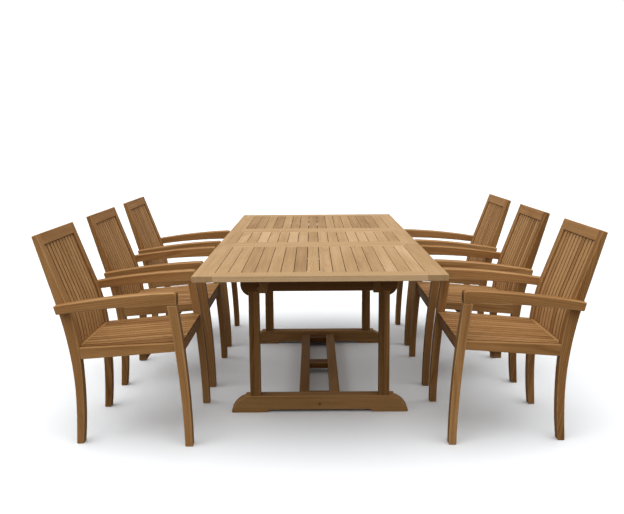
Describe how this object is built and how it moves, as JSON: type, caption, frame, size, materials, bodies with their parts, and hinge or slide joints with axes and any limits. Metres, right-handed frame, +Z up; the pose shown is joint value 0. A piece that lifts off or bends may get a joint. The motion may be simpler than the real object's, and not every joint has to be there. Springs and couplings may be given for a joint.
{
  "type": "patio dining set",
  "caption": "Slatted wooden extending dining table on two trestles, with slatted stacking armchairs along both long sides.",
  "frame": {"origin": "on the floor under the middle of the extended table, which is also the middle of the set", "axes": "+Z up, +Y along the table's length to its far end, +X to the right-hand row of chairs"},
  "size_m": [2.354, 2.4, 0.895],
  "materials": {
    "table_top_teak": "planed and oiled light teak, satin",
    "chair_teak": "sanded and oiled golden-brown teak, satin",
    "shaded_teak": "sanded and oiled teak, a little darker, matt",
    "plug_teak": "dark end-grain teak plug"
  },
  "bodies": {
    "underframe": {"near_trestle_foot": "shaded_teak", "near_trestle_head": "shaded_teak", "near_trestle_left_leg": "shaded_teak", "near_trestle_right_leg": "shaded_teak", "far_trestle_foot": "shaded_teak", "far_trestle_head": "shaded_teak", "far_trestle_left_leg": "shaded_teak", "far_trestle_right_leg": "shaded_teak", "stretcher_rails": "shaded_teak", "stretcher_crossbars": "shaded_teak", "bolt_plugs": "plug_teak", "slide_bearers": "shaded_teak", "slide_cross_rails": "shaded_teak"},
    "near_top": {"near_top_stiles": "table_top_teak", "near_top_rails": "table_top_teak", "near_top_slats": "table_top_teak", "near_top_battens": "shaded_teak", "near_top_runners": "shaded_teak"},
    "far_top": {"far_top_stiles": "table_top_teak", "far_top_rails": "table_top_teak", "far_top_slats": "table_top_teak", "far_top_battens": "shaded_teak", "far_top_runners": "shaded_teak"},
    "leaf": {"leaf_stiles": "table_top_teak", "leaf_rails": "table_top_teak", "leaf_slats": "table_top_teak", "leaf_battens": "shaded_teak"},
    "left_near_chair": {"left_near_chair_legs": "chair_teak", "left_near_chair_arms": "chair_teak", "left_near_chair_rails": "chair_teak", "left_near_chair_seat_slats": "chair_teak", "left_near_chair_back_slats": "chair_teak"},
    "right_near_chair": {"right_near_chair_legs": "chair_teak", "right_near_chair_arms": "chair_teak", "right_near_chair_rails": "chair_teak", "right_near_chair_seat_slats": "chair_teak", "right_near_chair_back_slats": "chair_teak"},
    "left_middle_chair": {"left_middle_chair_legs": "chair_teak", "left_middle_chair_arms": "chair_teak", "left_middle_chair_rails": "chair_teak", "left_middle_chair_seat_slats": "chair_teak", "left_middle_chair_back_slats": "chair_teak"},
    "right_middle_chair": {"right_middle_chair_legs": "chair_teak", "right_middle_chair_arms": "chair_teak", "right_middle_chair_rails": "chair_teak", "right_middle_chair_seat_slats": "chair_teak", "right_middle_chair_back_slats": "chair_teak"},
    "left_far_chair": {"left_far_chair_legs": "chair_teak", "left_far_chair_arms": "chair_teak", "left_far_chair_rails": "chair_teak", "left_far_chair_seat_slats": "chair_teak", "left_far_chair_back_slats": "chair_teak"},
    "right_far_chair": {"right_far_chair_legs": "chair_teak", "right_far_chair_arms": "chair_teak", "right_far_chair_rails": "chair_teak", "right_far_chair_seat_slats": "chair_teak", "right_far_chair_back_slats": "chair_teak"}
  },
  "joints": [
    {"name": "leaf_lift", "type": "slide", "parent": "underframe", "child": "leaf", "axis": [0, 0, 1], "range_m": [0, 0.8985]},
    {"name": "near_top_slide", "type": "slide", "parent": "underframe", "child": "near_top", "axis": [0, 1, 0], "range_m": [0, 0.2995]},
    {"name": "far_top_slide", "type": "slide", "parent": "underframe", "child": "far_top", "axis": [0, -1, 0], "range_m": [0, 0.2995]},
    {"name": "left_near_chair_slide", "type": "slide", "parent": "underframe", "child": "left_near_chair", "axis": [-1, 0, 0], "range_m": [-0.22, 0.5]},
    {"name": "right_near_chair_slide", "type": "slide", "parent": "underframe", "child": "right_near_chair", "axis": [1, 0, 0], "range_m": [-0.22, 0.5]},
    {"name": "left_middle_chair_slide", "type": "slide", "parent": "underframe", "child": "left_middle_chair", "axis": [-1, 0, 0], "range_m": [-0.22, 0.5]},
    {"name": "right_middle_chair_slide", "type": "slide", "parent": "underframe", "child": "right_middle_chair", "axis": [1, 0, 0], "range_m": [-0.22, 0.5]},
    {"name": "left_far_chair_slide", "type": "slide", "parent": "underframe", "child": "left_far_chair", "axis": [-1, 0, 0], "range_m": [-0.22, 0.5]},
    {"name": "right_far_chair_slide", "type": "slide", "parent": "underframe", "child": "right_far_chair", "axis": [1, 0, 0], "range_m": [-0.22, 0.5]}
  ],
  "couplings": [
    {"joint": "near_top_slide", "follows": "leaf_lift", "ratio": 0.33333},
    {"joint": "far_top_slide", "follows": "leaf_lift", "ratio": 0.33333}
  ]
}
